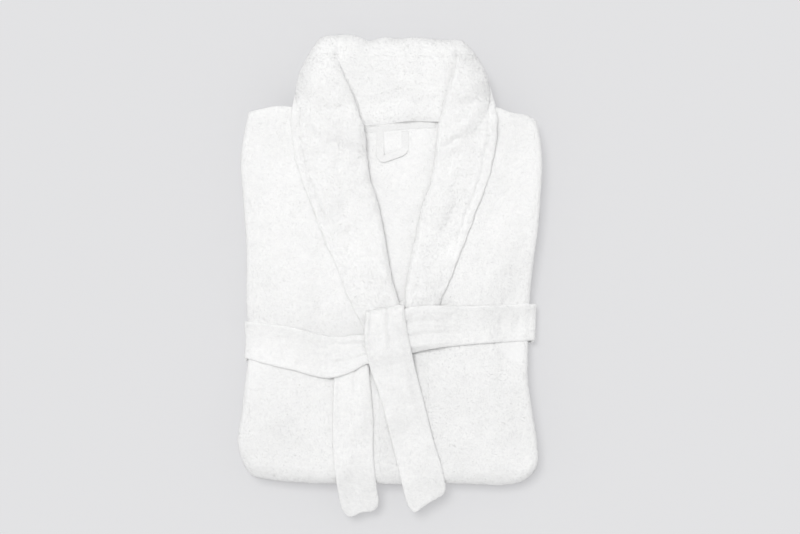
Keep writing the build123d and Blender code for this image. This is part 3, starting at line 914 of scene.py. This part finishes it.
middle_y = on_top * belt_middle(x) + (1 - on_top) * (-81.5 + x * 0.0617)
half_top = through(
    x, [-206, -140, -80, -50, -38, 8, 28, 80, 206], [26, 29.5, 28, 24, 21, 33, 32, 28, 25]
)
half_wide = on_top * half_top + (1 - on_top) * BELT_HALF
share = steps(2, 0.07, 0.05)[None, :] - 1
thick = on_top[:, None] * (3.0 + 0 * share) + 2.8
pull = ease(np.abs(x[:, None]), 120, 40) * on_top[:, None]
thick = thick + pull * (1.6 * np.cos(share * 9.0) + 0.9 * np.cos(share * 21 + x[:, None] * 0.05))
wrap_x = x[:, None] + 0 * share
wrap_y = middle_y[:, None] + half_wide[:, None] * share
lower = (under_wrap(wrap_x, wrap_y) - wrap_height(wrap_x)) * ease(-np.abs(wrap_x), -190, -165)
waves = 0.8 * ripple(wrap_x, wrap_y, 40, 61) + 0.3 * ripple(wrap_x, wrap_y, 18, 62)
wrap_z = z[:, None] + (lower + 0.6 + waves) * on_top[:, None]
loose = 0.018 * (0.3 + 0.7 * on_top[:, None])
wrap_x = wrap_x * (1 + loose * ease(wrap_x, 150, 200) - 0.009 * ease(-wrap_x, 150, 200))
middle = np.stack([wrap_x, wrap_y, wrap_z + 1.6 * (1 - on_top[:, None])], axis=-1)
wrap = cloth("belt_wrap_cloth", settle(middle), thick, 62, nap=0.2, ring=True)
finish_cloth(wrap, belt_terry, "belt_terry", "bundle", "belt_wrap")
loops = looped(wrap, 2.0, 1.4, 162, "bundle")


def tail(name, down, height, right, left, top_slant, end_slant, gather, sag, seed):
    """A belt end seen from the side as the line of down (y) and height (z), with its edges
    towards the wearer's right and left as x over y, and its corners rounded at the loose end.
    Its two ends run slanting by top_slant and end_slant. gather is how strongly it is drawn
    into lengthwise folds near its upper end, and sag how far its left edge lies lower."""
    run = np.insert(np.cumsum(np.hypot(np.diff(down), np.diff(height))), 0, 0)
    at = steps(run[-1], 1.9)
    y, z = np.interp(at, run, down), np.interp(at, run, height)
    share = steps(1, 0.034, 0.028)[None, :]
    right_x, left_x = through(y, *right)[:, None], through(y, *left)[:, None]
    to_end = np.clip(1 - (run[-1] - at) / 17, 0, 1)[:, None]
    narrow = 1 - 0.36 * (1 - np.sqrt(1 - to_end**2))
    x = (right_x + left_x) / 2 + (left_x - right_x) * (share - 0.5) * narrow
    drop = end_slant * (share - 0.5) * ease(-y, 215, 310)[:, None]
    rise = (top_slant * (share - 1) - 2.5) * ease(y, -105, -50)[:, None]
    y = y[:, None] + drop + rise + 1.5 * ripple(x, 0 * x, 30, seed + 1) * to_end
    fade = gather * ease(at, run[-1] * 0.75, run[-1] * 0.1)[:, None]
    folds = fade * (np.cos(share * 15 + at[:, None] * 0.012) + 0.5 * np.cos(share * 27))
    thick = 5.4 + 0.8 * folds
    z = z[:, None] + 0.7 * folds + 1.0 * ripple(x, y, 44, seed) - 1.2 * np.abs(2 * share - 1) ** 3
    z = z - sag * ease(share, 0.55, 1.0) + 0.7 * ease(-share, -0.4, 0)
    return cloth(name, settle(np.stack([x, y, z], axis=-1)), thick, seed, nap=0.22)


def both_faces(middle, normal):
    """All of a loose end's faces, since it can be lifted."""
    return middle[:, 1] < -40


# The front end turns over the wrap's upper edge, lies across it, comes down to the fronts and
# droops past the skirt's fold.
knot_turn = np.linspace(-0.5 * np.pi, 0.45 * np.pi, 14)
knot_y = np.concatenate([
    -47 + 5.5 * np.cos(knot_turn),
    [-70, -95, -110, -124, -140, -160, -200, -245],
])
knot_z = np.concatenate([
    64.5 + 5.5 * np.sin(knot_turn),
    [71.2, 71.0, 68.5, 63, 58.2, 56.2, 55.8, 55.8],
])
droop = np.radians(np.linspace(0, 22, 16))[1:]
front_y = np.concatenate([knot_y, -252 - 70 * np.sin(droop), [-307]])
front_z = np.concatenate([knot_z, 55.8 - 70 * (1 - np.cos(droop)), [39.0]])
front_tail = tail(
    "belt_front_tail_cloth",
    front_y,
    front_z,
    ([-316, -291, -262, -220, -176, -126, -80, -45], [25, 20, 11, -2, -13, -30, -37, -35]),
    ([-316, -291, -262, -220, -176, -143, -99, -60, -42], [78, 74, 68, 56, 45, 36, 26, 19, 17]),
    top_slant=9.5,
    end_slant=26,
    gather=1.3,
    sag=2.0,
    seed=71,
)
finish_cloth(front_tail, belt_terry, "belt_terry", None, "belt_front_tail", "belt_knot")
loops = looped(front_tail, 1.9, 1.4, 171, None, both_faces)
for part in (front_tail, loops):
    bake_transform(part, "bundle", "front_tail", (0, -0.110, 0.062), (0.008, -0.142, 0.062))
rear_y = np.concatenate([[-104, -120, -140, -200, -245], -252 - 68 * np.sin(droop), [-323]])
rear_z = np.concatenate([[55.4, 55.4, 55.4, 55.3, 55.2], 55.2 - 68 * (1 - np.cos(droop)), [31.0]])
rear_tail = tail(
    "belt_rear_tail_cloth",
    rear_y,
    rear_z,
    ([-322, -297, -258, -187, -146, -104], [-67, -72, -78, -80, -79, -76]),
    ([-322, -294, -278, -236, -201, -151, -104], [-16, -20, -22, -25, -25, -29, -32]),
    top_slant=0,
    end_slant=10,
    gather=0.7,
    sag=0.4,
    seed=72,
)
finish_cloth(rear_tail, belt_terry, "belt_terry", None, "belt_rear_tail")
loops = looped(rear_tail, 1.9, 1.4, 172, None, both_faces)
for part in (rear_tail, loops):
    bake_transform(part, "bundle", "rear_tail", (-0.053, -0.126, 0.058), (-0.053, -0.160, 0.058))


# Surroundings. A plain pale light table, which glows a little so that shadows on it stay thin,
# even soft light from all round, and one broad light almost overhead, beyond the right shoulder.
floor_mesh = bpy.data.meshes.new("table")
floor_mesh.from_pydata([(-6, -6, 0), (6, -6, 0), (6, 6, 0), (-6, 6, 0)], [], [(0, 1, 2, 3)])
floor = bpy.data.objects.new("table", floor_mesh)
bpy.context.scene.collection.objects.link(floor)
paper = bpy.data.materials.new("pale_table")
paper.use_nodes = True
top = paper.node_tree.nodes["Principled BSDF"]
top.inputs["Base Color"].default_value = srgb("#B5B5B6")
top.inputs["Roughness"].default_value = 0.9
top.inputs["Specular IOR Level"].default_value = 0.0
top.inputs["Emission Color"].default_value = srgb("#E3E3E5")
top.inputs["Emission Strength"].default_value = 0.362
floor.data.materials.append(paper)

world = bpy.data.worlds.new("soft_room")
bpy.context.scene.world = world
world.use_nodes = True
world.node_tree.nodes["Background"].inputs["Color"].default_value = (1.0, 1.0, 1.0, 1.0)
world.node_tree.nodes["Background"].inputs["Strength"].default_value = 0.70
lamp = bpy.data.lights.new("broad_lamp", "SUN")
lamp.angle = np.radians(24)
lamp.energy = 1.20
lamp_stand = bpy.data.objects.new("broad_lamp", lamp)
bpy.context.scene.collection.objects.link(lamp_stand)
lamp_stand.location = (-0.42, 0.62, 2.0)
lamp_stand.rotation_euler = (
    (Vector((0, 0, 0)) - lamp_stand.location).to_track_quat("-Z", "Y").to_euler()
)

camera = bpy.data.cameras.new("overhead")
camera.sensor_width = 36.0
camera.lens = 98.2
camera_stand = bpy.data.objects.new("overhead", camera)
bpy.context.scene.collection.objects.link(camera_stand)
camera_stand.location = (0.0117, 0.0096, 3.05)
bpy.context.scene.camera = camera_stand
bpy.context.scene.view_settings.view_transform = "Standard"
